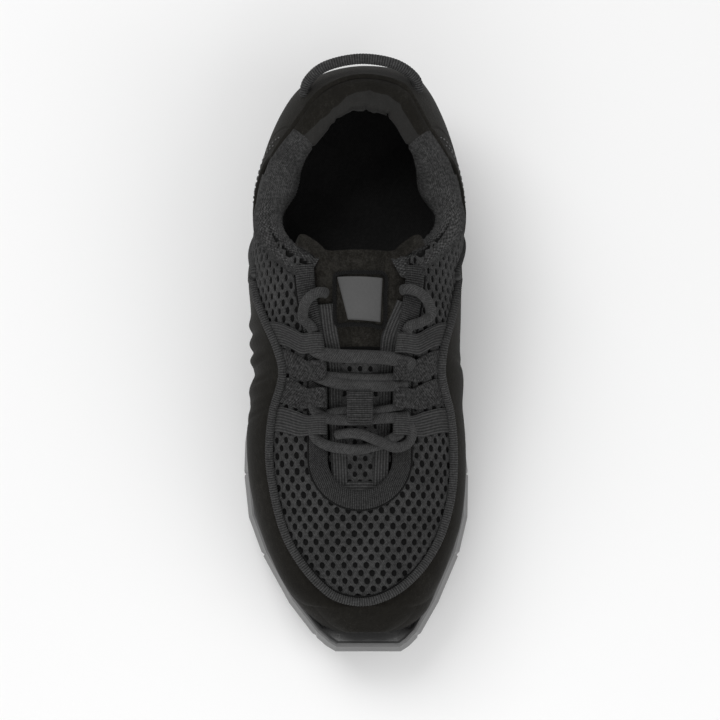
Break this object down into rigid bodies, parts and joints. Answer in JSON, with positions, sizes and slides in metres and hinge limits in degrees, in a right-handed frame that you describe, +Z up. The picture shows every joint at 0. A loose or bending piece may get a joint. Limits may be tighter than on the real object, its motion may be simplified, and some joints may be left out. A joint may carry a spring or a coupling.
{
  "type": "dance sneaker",
  "caption": "Low black dance sneaker for the right foot, with a split sole, mesh upper, suede panels, webbing lace straps and a padded collar.",
  "frame": {"origin": "middle of the underside of the whole shoe, on the surface it stands on", "axes": "-Y to the toe, +Y to the heel, +X to the medial side of this right shoe, +Z up"},
  "size_m": [0.1036, 0.2634, 0.0997],
  "materials": {
    "sole": "semi-matte moulded foam rubber, dark grey, with flow grooves",
    "mesh": "open air mesh over black foam and lining",
    "suede": "black suede with a short nap",
    "lining": "padded spacer knit, with smooth microfibre at the heel",
    "insole": "matt black textile footbed, bare",
    "webbing": "ribbed knit webbing",
    "lace": "fine knitted elastic cord",
    "patch": "bare grey moulded patch with an embroidered edge"
  },
  "bodies": {
    "root": {"forefoot_sole": "sole", "heel_sole": "sole", "upper": "mesh", "insole": "insole", "tongue": "suede", "tongue_patch": "patch", "collar_padding": "lining", "mudguard": "suede", "heel_counter": "suede", "piping": "webbing", "tongue_lace_loop": "webbing", "pull_loop": "lace", "lace_strap_lateral_1": "webbing", "lace_strap_lateral_2": "webbing", "lace_strap_lateral_3": "webbing", "lace_strap_lateral_4": "webbing", "lace_strap_medial_1": "webbing", "lace_strap_medial_2": "webbing", "lace_strap_medial_3": "webbing", "lace_strap_medial_4": "webbing", "lace_end_lateral": "lace", "lace_end_medial": "lace", "lace_crossing_1": "lace", "lace_crossing_2": "lace", "lace_crossing_3": "lace", "lace_crossing_4": "lace"}
  },
  "joints": []
}
